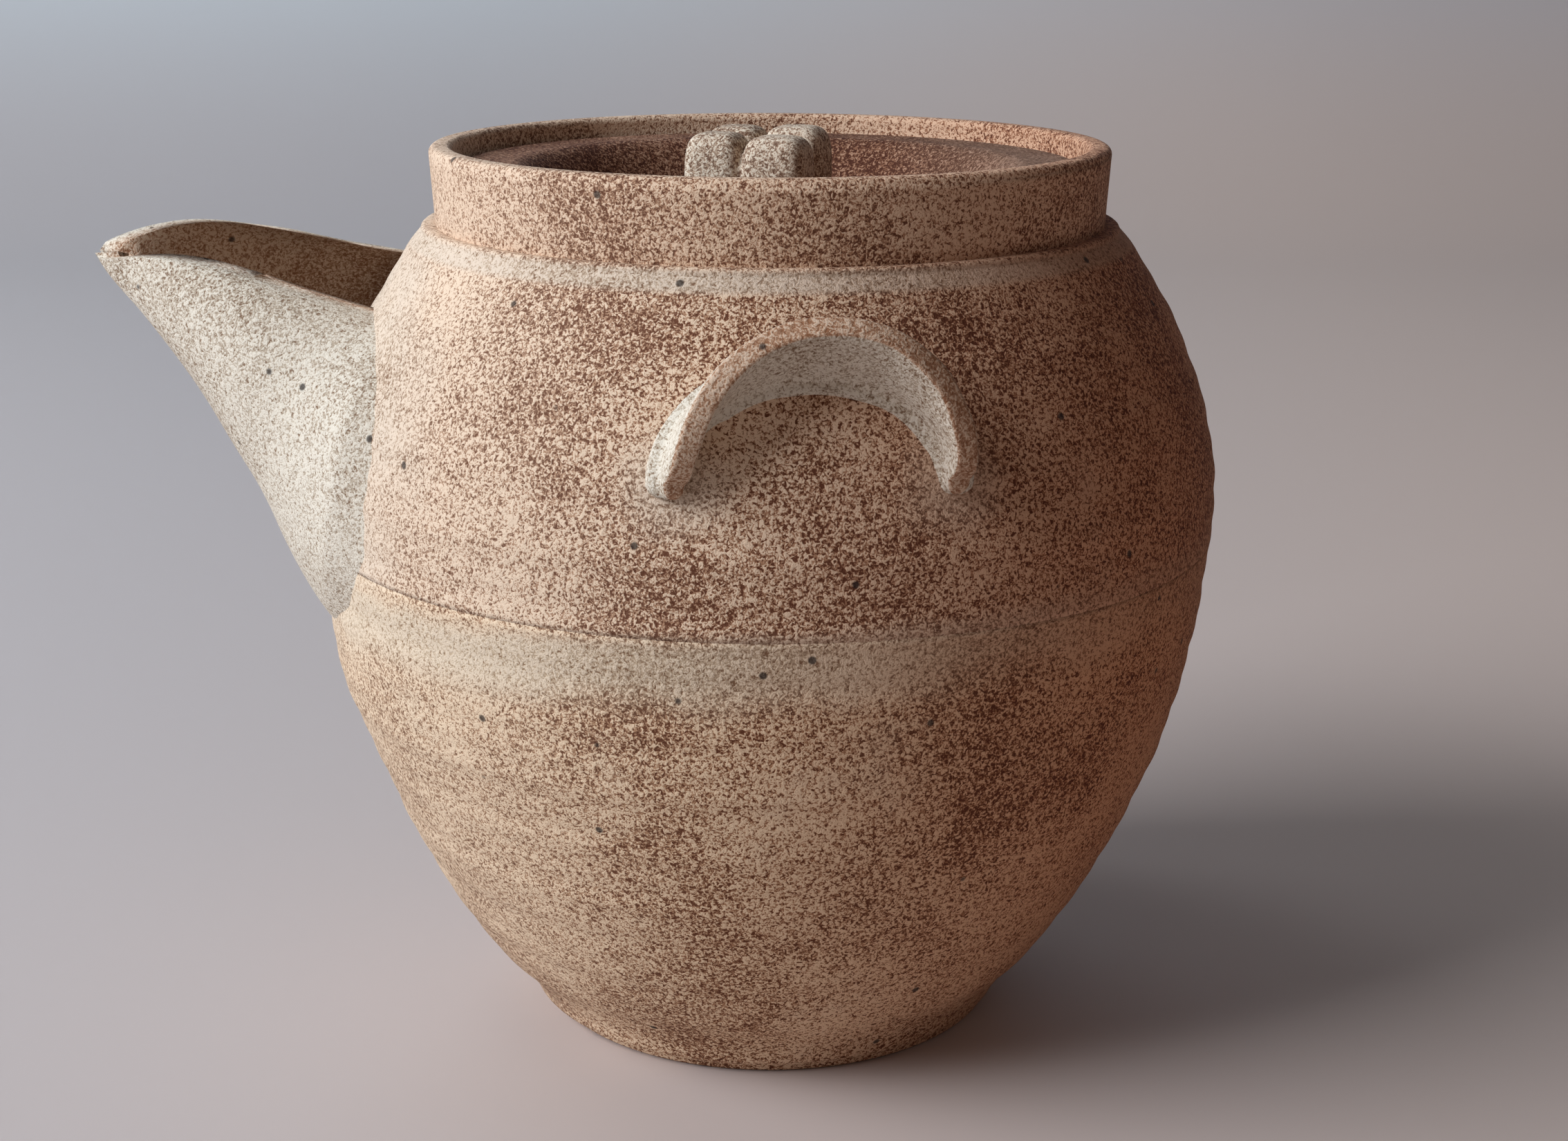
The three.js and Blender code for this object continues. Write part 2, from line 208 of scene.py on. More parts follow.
def vertices(obj):
    """The object's points, in millimetres."""
    co = np.zeros(len(obj.data.vertices) * 3, np.float32)
    obj.data.vertices.foreach_get("co", co)
    return co.reshape(-1, 3) / MM


def paint(obj, name, values):
    """A value for each vertex, which the materials read by name; it is 0 where a piece has none."""
    attribute = obj.data.attributes.new(name, "FLOAT", "POINT")
    attribute.data.foreach_set("value", np.clip(values, 0, 1).astype(np.float32))


def smooth_noise(points, scale, seed=0.0):
    """A cheap smooth noise from sines, about -1 to 1; points in millimetres."""
    shifted = np.asarray(points) * scale + seed
    x, y, z = shifted[..., 0], shifted[..., 1], shifted[..., 2]
    a = np.sin(x + 1.7 * np.sin(y + 0.3)) * np.cos(y * 1.3 - z)
    b = np.sin(z * 1.1 + 1.3 * np.sin(x * 0.9)) * np.cos(x * 0.7 + y)
    return 0.5 * (a + b)


def lathe(name, outline):
    """Turns an outline round Z, from the axis to the axis or else closed in itself.

    A point is (radius, height, share of the unevenness), the first two in millimetres.
    """
    theta = np.linspace(0, 2 * math.pi, ROUND_STEPS, endpoint=False)
    points, rows = [], []
    for radius, z, share in outline:
        if radius == 0:
            rows.append([len(points)] * ROUND_STEPS)
            points.append((0.0, 0.0, z * MM))
            continue
        r = (radius + share * handmade(theta, z)) * MM
        rows.append(list(range(len(points), len(points) + ROUND_STEPS)))
        points.extend(zip(r * np.cos(theta), r * np.sin(theta), np.full(ROUND_STEPS, z * MM)))
    closed = outline[0][0] > 0
    faces = []
    for low, high in zip(rows, rows[1:] + rows[:1] if closed else rows[1:]):
        for i in range(ROUND_STEPS):
            j = (i + 1) % ROUND_STEPS
            ring = [low[i], low[j], high[j], high[i]]
            face = [v for k, v in enumerate(ring) if v != ring[k - 1]]
            if len(face) > 2:
                faces.append(face)
    return mesh_object(name, points, faces)


def arc(cx, cz, radius, start, end, steps, share=0.0):
    """Points of an outline round an arc; angles in degrees."""
    turns = np.radians(np.linspace(start, end, steps))
    return [(cx + radius * math.cos(t), cz + radius * math.sin(t), share) for t in turns]


def wall_outside(low, high, steps):
    return [(float(jar_radius(z)), z, 1.0) for z in np.linspace(low, high, steps)]


def wall_inside(high, low):
    return [(float(inner_radius(z)), z, 0.0) for z in np.linspace(high, low, INSIDE_STEPS)]


def lower_bowl():
    return lathe("bowl_skin", [
        (0, 0, 0), (FOOT_FLAT, 0, 0),
        *arc(FOOT_RADIUS - FOOT_EDGE, FOOT_EDGE, FOOT_EDGE, -90, 0, 5),
        *wall_outside(OUTSIDE_START, WAIST_HEIGHT, BOWL_STEPS),
        *wall_inside(WAIST_HEIGHT, INSIDE_START),
        (FOOT_FLAT, BASE_THICKNESS, 0), (0, BASE_THICKNESS, 0),
    ])


def shoulder():
    return lathe("shoulder_skin", [
        *wall_outside(WAIST_HEIGHT, NECK_HEIGHT - NECK_TRIM, SHOULDER_STEPS),
        *arc(NECK_RADIUS - NECK_BEAD_SINK, NECK_HEIGHT - NECK_BEAD_SINK, NECK_BEAD, -20, 90, 5,
             NECK_BEAD_SHARE),
        *wall_inside(NECK_HEIGHT, WAIST_HEIGHT),
    ])


def collar():
    mouth = COLLAR_RADIUS - RIM_WIDTH
    bottom = NECK_HEIGHT - COLLAR_OVERLAP
    lip_height = RIM_HEIGHT - COLLAR_LIP
    start = COLLAR_RADIUS - COLLAR_FLARE
    side = [(start + COLLAR_FLARE * s, bottom + s * (lip_height - bottom), COLLAR_SHARE)
            for s in np.linspace(0, 1, COLLAR_STEPS)]
    return lathe("collar_skin", [
        *side,
        *arc(COLLAR_RADIUS - COLLAR_LIP, lip_height, COLLAR_LIP, 0, 90, 6, COLLAR_LIP_SHARE),
        *arc(mouth + COLLAR_LIP, lip_height, COLLAR_LIP, 90, 180, 6, COLLAR_LIP_SHARE),
        (mouth, GALLERY_HEIGHT + GALLERY_CORNER, 0), (mouth - GALLERY_CORNER, GALLERY_HEIGHT, 0),
        (GALLERY_BORE + GALLERY_EDGE, GALLERY_HEIGHT, 0), (GALLERY_BORE, GALLERY_HEIGHT - GALLERY_EDGE, 0),
        (GALLERY_BORE, bottom, 0),
    ])


def lid():
    top, bottom = dish_high.z / MM, dish_low.z / MM
    under = GALLERY_HEIGHT + LID_SEAT
    radius = dish_high.x / MM
    plug = GALLERY_BORE - LID_PLUG_GAP
    s = np.linspace(0, 1, DISH_STEPS)
    ease = s * s * (3 - 2 * s)
    return lathe("lid_skin", [
        (0, bottom, 0),
        *((DISH_FLOOR + out, bottom + up, 0) for out, up in UNDER_EDGE),
        (plug, under - LID_PLUG_DEPTH, 0), (plug, under, 0),
        *arc(radius - LID_UNDER_ROUND, under + LID_UNDER_ROUND, LID_UNDER_ROUND, -90, 0, 4),
        *arc(radius - LID_TOP_ROUND, top - LID_TOP_ROUND, LID_TOP_ROUND, 0, 90, 5),
        *((DISH_MOUTH + out, top - down, 0) for out, down in BRIM_SLOPE),
        *((DISH_MOUTH - (DISH_MOUTH - DISH_FLOOR) * float(a), top - DISH_DEPTH * float(b), LID_SHARE)
          for a, b in zip(s, ease)),
        (DISH_MIDDLE, top - DISH_DEPTH, 0), (0, top - DISH_DEPTH, 0),
    ])


# Spout, in millimetres, on the construction model's lines
SPOUT_TIP_REACH = -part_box("spout")[0].x / MM
SPOUT_TIP_HEIGHT = 82.0
SPOUT_TIP_DEPTH = 2.6
SPOUT_TIP_RAKE = 1.4
SPOUT_TIP_HALF = 0.9
SPOUT_KEEL_HEIGHT = 42.0
SPOUT_KEEL_BOW = 1.0
SPOUT_LIP_HEIGHT = 77.5
SPOUT_LIP_CROWN = 2.4
SPOUT_CROWN_PLACE = 2.2
SPOUT_LIP_SKEW = 1.9
SPOUT_SKEW_FADE = 0.25
SPOUT_LIP_HALF = 12.0
SPOUT_SIDE_HALF = 25.0
SPOUT_SIDE_TAPER = 0.8
SPOUT_SIDE_SHARE = 0.4
SPOUT_WALL = 2.3
SPOUT_ROOT_SINK = 6.0
CHANNEL_TIP_HALF = 0.15
CHANNEL_RUST = 0.7

# The spout's grid, and how its skin flares on to the jar, in millimetres
SPOUT_COLUMNS = 61
SPOUT_ROWS = 70
SPOUT_ROW_CROWDING = 0.9
SPOUT_FLARE = 2.6
SPOUT_FLARE_HEIGHT = 8.0
LIP_FADE_DROP = 1.0
LIP_FADE_DEPTH = 8.0
KEEL_FLARE = 0.2
KEEL_FADE_HEIGHT = 12.0
SPOUT_UNEVENNESS = 0.12
SPOUT_NOISE = (0.35, 2.0)


def beak_section(share, inset):
    """One open cross-section of the beak, from the near lip round the keel to the far lip, in millimetres."""
    def mix(a, b):
        return a + (b - a) * share

    tip = inset - SPOUT_TIP_REACH
    crown = SPOUT_LIP_CROWN * math.sin(math.pi * share ** SPOUT_CROWN_PLACE)
    lip = np.array([
        mix(SPOUT_ROOT_SINK - NECK_RADIUS, tip), 0, mix(SPOUT_LIP_HEIGHT, SPOUT_TIP_HEIGHT) + crown])
    root_keel = SPOUT_ROOT_SINK - float(jar_radius(SPOUT_KEEL_HEIGHT))
    keel = np.array([
        mix(root_keel, tip + SPOUT_TIP_RAKE) - SPOUT_KEEL_BOW * math.sin(2 * math.pi * share), 0,
        mix(SPOUT_KEEL_HEIGHT - SPOUT_ROOT_SINK, SPOUT_TIP_HEIGHT - SPOUT_TIP_DEPTH) + inset])
    tip_half = CHANNEL_TIP_HALF if inset else SPOUT_TIP_HALF
    lip_half = max(SPOUT_LIP_HALF * math.sqrt(1 - share) - inset, tip_half)
    side_half = max(SPOUT_SIDE_HALF * (1 - share) ** SPOUT_SIDE_TAPER - inset, lip_half)
    lean = SPOUT_LIP_SKEW * (1 - share) ** SPOUT_SKEW_FADE
    ring = []
    for s in np.linspace(-1, 1, SPOUT_COLUMNS):
        u = 1 - abs(s)
        if u < SPOUT_SIDE_SHARE:
            turn = math.pi / 2 * (1 - u / SPOUT_SIDE_SHARE)
            half = lip_half + (side_half - lip_half) * math.cos(turn)
            down = SPOUT_SIDE_SHARE * (1 - math.sin(turn))
        else:
            turn = math.pi / 2 * (u - SPOUT_SIDE_SHARE) / (1 - SPOUT_SIDE_SHARE)
            half = side_half * math.cos(turn)
            down = SPOUT_SIDE_SHARE + (1 - SPOUT_SIDE_SHARE) * math.sin(turn)
        p = lip + (keel - lip) * down
        p[1] = math.copysign(half, s)
        p[2] += lean * max(-1, min(1, p[1] / lip_half)) * (1 - down)
        ring.append(p)
    return np.array(ring)


def beak_grid(inset):
    shares = np.linspace(0, 1, SPOUT_ROWS) ** SPOUT_ROW_CROWDING
    return np.array([beak_section(share, inset) for share in shares])


def grid_normals(grid):
    """Unit normals of a grid of points, turned away from the middle of each row."""
    normal = np.cross(np.gradient(grid, axis=0), np.gradient(grid, axis=1))
    normal /= np.linalg.norm(normal, axis=2)[..., None] + 1e-9
    centre = grid.mean(axis=1)[:, None, :]
    sense = np.sign(((grid - centre) * normal).sum(axis=2, keepdims=True))
    return normal * np.where(sense == 0, 1, sense)


def root_flare(grid):
    """How far the spout's skin swells on to the jar, in millimetres: less at the keel, none at the lips."""
    height = grid[..., 2]
    h = np.clip(above_jar(grid) / SPOUT_FLARE_HEIGHT, 0, 1)
    lips = np.clip((SPOUT_LIP_HEIGHT - LIP_FADE_DROP - height) / LIP_FADE_DEPTH, 0, 1)
    keel = np.clip((height - SPOUT_KEEL_HEIGHT) / KEEL_FADE_HEIGHT, 0, 1)
    return SPOUT_FLARE * (1 - h) ** 2 * lips * (KEEL_FLARE + (1 - KEEL_FLARE) * keel)


def spout():
    """A closed shell: an outer skin that flares on to the jar, a channel inside it, and lips between them."""
    outer, inner = beak_grid(0), beak_grid(SPOUT_WALL)
    normal = grid_normals(outer)
    outer += normal * root_flare(outer)[..., None]
    outer += normal * (SPOUT_UNEVENNESS * smooth_noise(outer, *SPOUT_NOISE))[..., None]
    size = SPOUT_ROWS * SPOUT_COLUMNS
    o = np.arange(size).reshape(SPOUT_ROWS, SPOUT_COLUMNS).tolist()
    i = np.arange(size, 2 * size).reshape(SPOUT_ROWS, SPOUT_COLUMNS).tolist()
    faces = []
    for r in range(SPOUT_ROWS - 1):
        for c in range(SPOUT_COLUMNS - 1):
            faces.append((o[r][c], o[r][c + 1], o[r + 1][c + 1], o[r + 1][c]))
            faces.append((i[r][c], i[r + 1][c], i[r + 1][c + 1], i[r][c + 1]))
    for c in (0, SPOUT_COLUMNS - 1):
        for r in range(SPOUT_ROWS - 1):
            quad = (o[r][c], o[r + 1][c], i[r + 1][c], i[r][c])
            faces.append(quad if c == 0 else quad[::-1])
    for r in (0, SPOUT_ROWS - 1):
        for c in range(SPOUT_COLUMNS - 1):
            quad = (o[r][c], i[r][c], i[r][c + 1], o[r][c + 1])
            faces.append(quad if r == 0 else quad[::-1])
    points = np.concatenate([outer.reshape(-1, 3), inner.reshape(-1, 3)]) * MM
    obj = mesh_object("spout_skin", points, faces)
    paint(obj, "rust", np.repeat([0.0, CHANNEL_RUST], size))
    outward_normals(obj)
    return obj


# Ear, in millimetres and degrees, on the construction model's lines; its strip is thinner, with rounded ends
EAR_AZIMUTH = 5.0
EAR_TURN = 17.0
EAR_SPAN = 28.0
EAR_FOOT_HEIGHT = 67.6
EAR_ARCH_RISE = 9.6
EAR_STRIP = 2.2
EAR_REACH = 7.6
EAR_END_REACH = 1.6
EAR_END_EASE = 0.4
EAR_LEG_TILT = 14.0
EAR_CROWN_TILT = 44.0
EAR_SINK = 1.5
EAR_FILLET = 0.9
EAR_EDGE = 0.45
EAR_SECTIONS = 56
EAR_FILLET_STEPS = 6
EAR_SIDE_STEPS = 6
EAR_SIDE_PART = (0.15, 0.9)
EAR_EDGE_STEPS = 5
EAR_TURN_STEP = 0.01
EAR_WOBBLE = 0.04
EAR_UNEVENNESS = 0.10
EAR_NOISE = (0.7, 5.0)
EAR_END_SHARES = (1.0, 0.85, 0.5)
EAR_END_SQUEEZE = 0.9
EAR_END_LENGTH = 1.3
EAR_RUST = 0.8
EAR_RUST_COLUMNS = 3.2


def ear_place(turn):
    """Where the strip stands on the jar; turn runs from 0 at the left leg to pi at the right one."""
    z = EAR_FOOT_HEIGHT + EAR_ARCH_RISE * math.sin(turn)
    radius = float(jar_radius(z))
    azimuth = math.radians(EAR_AZIMUTH) - (EAR_SPAN - EAR_STRIP) / 2 / radius * math.cos(turn)
    return np.array([radius * math.sin(azimuth), -radius * math.cos(azimuth), z])


def ear_along(turn):
    """Unit vector along the strip."""
    along = ear_place(turn + EAR_TURN_STEP) - ear_place(turn - EAR_TURN_STEP)
    return along / np.linalg.norm(along)


def ear_profile(turn):
    """Half of the strip's section, as (height, half thickness): a fillet, a side and a round edge."""
    half = EAR_STRIP / 2
    reach = EAR_END_REACH + (EAR_REACH - EAR_END_REACH) * max(0.0, math.sin(turn)) ** EAR_END_EASE
    profile = [(-EAR_SINK, half + EAR_FILLET)]
    for t in np.linspace(0, 1, EAR_FILLET_STEPS):
        h = EAR_FILLET * t
        profile.append((h, half + EAR_FILLET - math.sqrt(EAR_FILLET ** 2 - (EAR_FILLET - h) ** 2)))
    side = reach - EAR_EDGE - EAR_FILLET
    profile += [(EAR_FILLET + side * t, half) for t in np.linspace(*EAR_SIDE_PART, EAR_SIDE_STEPS)]
    profile += [(reach - EAR_EDGE + EAR_EDGE * math.sin(t), half - EAR_EDGE + EAR_EDGE * math.cos(t))
                for t in np.linspace(0, math.pi / 2, EAR_EDGE_STEPS)]
    return profile


def ear_section(turn):
    """One closed section of the strip, in millimetres."""
    tilt = math.radians(EAR_LEG_TILT + (EAR_CROWN_TILT - EAR_LEG_TILT) * math.sin(turn))
    forward = math.radians(EAR_TURN)
    out = np.array([math.sin(forward) * math.cos(tilt), -math.cos(forward) * math.cos(tilt), math.sin(tilt)])
    across = np.cross(out, ear_along(turn))
    across /= np.linalg.norm(across)
    profile = ear_profile(turn)
    ring = profile + [(h, -w) for h, w in reversed(profile)]
    wobble = 1 + EAR_WOBBLE * math.sin(3 * turn + 1)
    return np.array([ear_place(turn) + out * h * (wobble if h > 0 else 1) + across * w for h, w in ring])


def ear_end(ring, turn, sense, share):
    """A smaller copy of the end section further along, so that the leg runs out round."""
    root = ear_place(turn)
    squeeze = math.sqrt(1 - EAR_END_SQUEEZE * share ** 2)
    return root + (ring - root) * squeeze - ear_along(turn) * sense * share * EAR_END_LENGTH


def ear(name, side):
    """The strip bent to an arch; side is 1 for the near one and -1 for its mirror image."""
    turns = np.linspace(0, math.pi, EAR_SECTIONS)
    rings = np.array([ear_section(t) for t in turns])
    starts = [ear_end(rings[0], turns[0], 1, share) for share in EAR_END_SHARES]
    ends = [ear_end(rings[-1], turns[-1], -1, share) for share in reversed(EAR_END_SHARES)]
    rings = np.concatenate([starts, rings, ends])
    rings += EAR_UNEVENNESS * smooth_noise(rings, *EAR_NOISE)[..., None]
    rings[..., 1] *= side
    rows, size = rings.shape[:2]
    faces = [(r * size + c, r * size + (c + 1) % size, (r + 1) * size + (c + 1) % size, (r + 1) * size + c)
             for r in range(rows - 1) for c in range(size)]
    faces += [tuple(range(size)), tuple(reversed(range((rows - 1) * size, rows * size)))]
    obj = mesh_object(name, rings.reshape(-1, 3) * MM, faces)
    edge = np.abs(np.arange(size) - (size - 1) / 2) < EAR_RUST_COLUMNS
    paint(obj, "rust", np.tile(edge * EAR_RUST, rows))
    outward_normals(obj)
    return obj


# Knob, in millimetres and degrees
KNOB_SHIFT = -1.3
KNOB_TURN = -18.0
KNOB_SINK = 0.3
LOBE_HALF = 3.2
LOBE_STEP = 3.25
LOBE_CORNERS = ((1, 1), (-1, 1), (-1, -1), (1, -1))
LOBE_SQUARENESS = 0.48
LOBE_VARIETY = 0.05
LOBE_DROP = 0.015
FUSE_VOXEL = 0.22
SOFTEN_ROUNDS = 5


def knob():
    """Four rounded lobes side by side on the dish's floor, melted together low down."""
    foot, top = knob_low.z / MM - KNOB_SINK, knob_high.z / MM
    half_height = (top - foot) / 2
    work = bmesh.new()
    for i, (sx, sy) in enumerate(LOBE_CORNERS):
        ball = bmesh.ops.create_icosphere(work, subdivisions=5, radius=1)["verts"]
        half = LOBE_HALF * (1 + LOBE_VARIETY * math.sin(2.3 * i + 1))
        for v in ball:
            n = np.array(v.co)
            p = np.sign(n) * np.abs(n) ** LOBE_SQUARENESS
            z = foot + half_height * (1 + p[2]) * (1 - LOBE_DROP * i if p[2] > 0 else 1)
            v.co = ((p[0] * half + sx * LOBE_STEP) * MM, (p[1] * half + sy * LOBE_STEP) * MM, z * MM)
    mesh = bpy.data.meshes.new("knob_skin")
    work.to_mesh(mesh)
    work.free()
    turn = Matrix.Rotation(math.radians(KNOB_TURN), 4, "Z")
    mesh.transform(Matrix.Translation((KNOB_SHIFT * MM, 0, 0)) @ turn)
    obj = bpy.data.objects.new("knob_skin", mesh)
    bpy.context.scene.collection.objects.link(obj)
    remesh = obj.modifiers.new("fuse", "REMESH")
    remesh.mode = "VOXEL"
    remesh.voxel_size = FUSE_VOXEL * MM
    remesh.use_smooth_shade = True
    soften = obj.modifiers.new("soften", "SMOOTH")
    soften.iterations = SOFTEN_ROUNDS
    apply_modifiers(obj)
    return obj


class Nodes:
    """Short calls for building a node tree; place is the point in the piece's own space, in metres."""

    def __init__(self, material):
        material.use_nodes = True
        self.tree = material.node_tree
        self.tree.nodes.clear()
        self.place = self.add("ShaderNodeTexCoord").outputs["Object"]

    def add(self, kind, inputs=(), **settings):
        node = self.tree.nodes.new(kind)
        for key, value in settings.items():
            setattr(node, key, value)
        for key, value in dict(inputs).items():
            self.put(node, key, value)
        return node

    def put(self, node, key, value):
        if hasattr(value, "is_output"):
            self.tree.links.new(value, node.inputs[key])
        else:
            node.inputs[key].default_value = value

    def math(self, operation, a, b=0.0, c=0.0):
        return self.add("ShaderNodeMath", {0: a, 1: b, 2: c}, operation=operation).outputs[0]

    def mix(self, share, a, b, blend="MIX"):
        node = self.add("ShaderNodeMix", {"Factor": share}, data_type="RGBA", blend_type=blend)
        self.put(node, 6, a)
        self.put(node, 7, b)
        return node.outputs[2]

    def noise(self, scale, detail=2.0, roughness=0.5, distortion=0.0):
        settings = {"Scale": scale, "Detail": detail, "Roughness": roughness, "Distortion": distortion,
                    "Vector": self.place}
        return self.add("ShaderNodeTexNoise", settings).outputs["Fac"]

    def ramp(self, value, low, high):
        """0 at low, 1 at high, smooth between them."""
        return self.add("ShaderNodeMapRange", {"Value": value, "From Min": low, "From Max": high},
                        interpolation_type="SMOOTHSTEP").outputs[0]

    def painted(self, name):
        return self.add("ShaderNodeAttribute", attribute_name=name).outputs["Fac"]

    def surface(self, specular, inputs):
        shader = self.add("ShaderNodeBsdfPrincipled", inputs)
        shader.inputs["Specular IOR Level"].default_value = specular
        self.add("ShaderNodeOutputMaterial", {0: shader.outputs[0]})


def linear(red, green, blue):
    """A screen colour, 0 to 255, as the linear colour that shaders take."""
    def one(v):
        v /= 255
        return v / 12.92 if v < 0.04045 else ((v + 0.055) / 1.055) ** 2.4
    return (one(red), one(green), one(blue), 1.0)


# Colours of the clay: three tones of grain, the same for the pale slip, the painted warm shade of the side
# away from the window, and what iron adds
DARK_GRAIN = linear(104, 64, 44)
MID_GRAIN = linear(176, 140, 112)
LIGHT_GRAIN = linear(234, 216, 192)
PALE_DARK = linear(136, 110, 88)
PALE_MID = linear(190, 176, 156)
PALE_LIGHT = linear(220, 211, 196)
WARM_SHADE = linear(206, 148, 112)
RUST = linear(176, 118, 78)
BLACK_SPECK = linear(44, 36, 34)

# Noises: scale per metre, detail, roughness, distortion
WORMS = (2700.0, 2.0, 0.6, 0.8)
FINE_GRAIN = (5200.0, 1.0, 0.5, 0.3)
BROAD_SHADE = (45.0, 3.0, 0.55)
PATCHY_SHADE = (130.0, 3.0, 0.6)
BAND_WAVE = (90.0, 3.0, 0.6)
WORN_PATCHES = (75.0, 3.0, 0.6)
GRIT = (700.0, 3.0, 0.6)

# Shares of the noises in the grain and its slow shading
WORM_SHARE, FINE_SHARE = 0.7, 0.3
BROAD_DEPTH, PATCHY_DEPTH, SHADE_MEAN = 0.22, 0.12, 0.17

# Where the tones of grain change, below and above a clay's own level of grain
DARK_TO_MID = (-0.055, 0.0)
MID_TO_LIGHT = (0.02, 0.07)
PALE_DARK_TO_MID = (-0.12, -0.04)
PALE_MID_TO_LIGHT = (-0.02, 0.06)

# Pale band under the waist line and ring at the neck, heights in metres from those lines
BAND_WAVE_SIZE = 0.0052
BAND_FADE_IN = (-0.0085, -0.0030)
BAND_CUT_OFF = (-0.0010, 0.0016)
BAND_WEAKER = 0.6
BAND_WEAKER_ACROSS = (-0.03, 0.05)
PATCH_LEVELS = (0.58, 0.75)
PATCH_SHARE = 0.3
NECK_RING_DROP = 0.9
NECK_RING_FADE = (0.0013, 0.0005)
NECK_RING_SHARE = 0.9

# Painted light, paler towards the spout on the lit side, and painted warm shade away from it, as ranges of x
# in metres
PAINTED_LIGHT_ACROSS = (0.0, -0.042)
PAINTED_SHADE_ACROSS = (-0.012, 0.042)
TINT_SHARE = 0.9
RUST_SHARE = 0.5

# Black specks, relief and gloss
SPECK_SCALE = 260.0
SPECK_EDGE = (0.07, 0.13)
SPECK_KEPT = (0.80, 0.82)
SPECK_SHARE = 0.85
GRIT_RELIEF = 0.8
RELIEF_DEPTH = 0.00022
RELIEF_STRENGTH = 0.75
CLAY_ROUGHNESS, ROUGHNESS_RANGE = 0.82, 0.12
CLAY_SPECULAR = 0.25


def pale_band(n, x, z):
    """Share of pale slip on the jar: a wavy band under the waist, worn patches and a ring at the neck."""
    line = WAIST_HEIGHT * MM
    rise = n.math("MULTIPLY_ADD", x, -WAIST_TILT, z)
    wave = n.math("MULTIPLY_ADD", n.noise(*BAND_WAVE), BAND_WAVE_SIZE, -BAND_WAVE_SIZE / 2)
    height = n.math("ADD", rise, wave)
    fade_in = n.ramp(height, line + BAND_FADE_IN[0], line + BAND_FADE_IN[1])
    cut_off = n.math("SUBTRACT", 1.0, n.ramp(height, line + BAND_CUT_OFF[0], line + BAND_CUT_OFF[1]))
    weaker = n.math("MULTIPLY_ADD", n.ramp(x, *BAND_WEAKER_ACROSS), -BAND_WEAKER, 1.0)
    band = n.math("MULTIPLY", n.math("MULTIPLY", fade_in, cut_off), weaker)
    patches = n.math("MULTIPLY", n.ramp(n.noise(*WORN_PATCHES), *PATCH_LEVELS), PATCH_SHARE)
    to_neck = n.math("ABSOLUTE", n.math("SUBTRACT", z, (NECK_HEIGHT - NECK_RING_DROP) * MM))
    neck = n.math("MULTIPLY", n.ramp(to_neck, *NECK_RING_FADE), NECK_RING_SHARE)
    return n.math("MAXIMUM", n.math("MAXIMUM", band, patches), neck)


def black_specks(n):
    """Share of black on sparse round specks."""
    cells = n.add("ShaderNodeTexVoronoi", {"Vector": n.place, "Scale": SPECK_SCALE, "Randomness": 1.0})
    spot = n.math("SUBTRACT", 1.0, n.ramp(cells.outputs["Distance"], *SPECK_EDGE))
    chance = n.add("ShaderNodeSeparateColor", {0: cells.outputs["Color"]}).outputs[0]
    return n.math("MULTIPLY", n.math("MULTIPLY", spot, n.ramp(chance, *SPECK_KEPT)), SPECK_SHARE)


def stoneware(name, grain, pale=0.0, banded=False, tint=None, painted_light=0.38, painted_shade=0.8):
    """Sandy clay: wormy grains of three tones, pale worn places, sparse black specks and fine grit, with
    painted light paling the lit side and painted warm shade on the other.
    """
    material = bpy.data.materials.new(name)
    n = Nodes(material)
    xyz = n.add("ShaderNodeSeparateXYZ", {0: n.place}).outputs
    finer = n.noise(*FINE_GRAIN)
    worms = n.math("MULTIPLY", n.noise(*WORMS), WORM_SHARE)
    grains = n.math("ADD", worms, n.math("MULTIPLY", finer, FINE_SHARE))
    patchy = n.math("MULTIPLY_ADD", n.noise(*PATCHY_SHADE), PATCHY_DEPTH, -SHADE_MEAN)
    level = n.math("ADD", grains, n.math("MULTIPLY_ADD", n.noise(*BROAD_SHADE), BROAD_DEPTH, patchy))

    def tones(dark, mid, light, first, second):
        darker = n.mix(n.ramp(level, grain + first[0], grain + first[1]), dark, mid)
        return n.mix(n.ramp(level, grain + second[0], grain + second[1]), darker, light)

    body = tones(DARK_GRAIN, MID_GRAIN, LIGHT_GRAIN, DARK_TO_MID, MID_TO_LIGHT)
    chalk = tones(PALE_DARK, PALE_MID, PALE_LIGHT, PALE_DARK_TO_MID, PALE_MID_TO_LIGHT)
    share = pale_band(n, xyz[0], xyz[2]) if banded else pale
    # Pale slip wiped on the jar, and painted light on the lid's right inner wall
    share = n.math("MAXIMUM", share, n.painted("slip_smear_and_painted_light"))
    colour = n.mix(share, body, chalk)
    colour = n.mix(n.painted("rust"), colour, n.mix(RUST_SHARE, body, RUST))
    # Painted light: the clay is mixed towards the pale slip's colour on the lit side, towards the spout
    colour = n.mix(n.math("MULTIPLY", n.ramp(xyz[0], *PAINTED_LIGHT_ACROSS), painted_light), colour, chalk)
    # Painted shade: a warm, deeper tone multiplied in towards the shaded right side
    shade_warmth = n.math("MULTIPLY", n.ramp(xyz[0], *PAINTED_SHADE_ACROSS), painted_shade)
    colour = n.mix(shade_warmth, colour, n.mix(1.0, colour, WARM_SHADE, "MULTIPLY"))
    if tint:
        colour = n.mix(TINT_SHARE, colour, n.mix(1.0, colour, tint, "MULTIPLY"))
    colour = n.mix(black_specks(n), colour, BLACK_SPECK)
    relief = n.math("ADD", grains, n.math("MULTIPLY", n.noise(*GRIT), GRIT_RELIEF))
    bump = n.add("ShaderNodeBump", {"Height": relief, "Distance": RELIEF_DEPTH, "Strength": RELIEF_STRENGTH})
    n.surface(CLAY_SPECULAR, {
        "Base Color": colour,
        "Roughness": n.math("MULTIPLY_ADD", finer, ROUGHNESS_RANGE, CLAY_ROUGHNESS),
        "Normal": bump.outputs[0],
    })
    return material


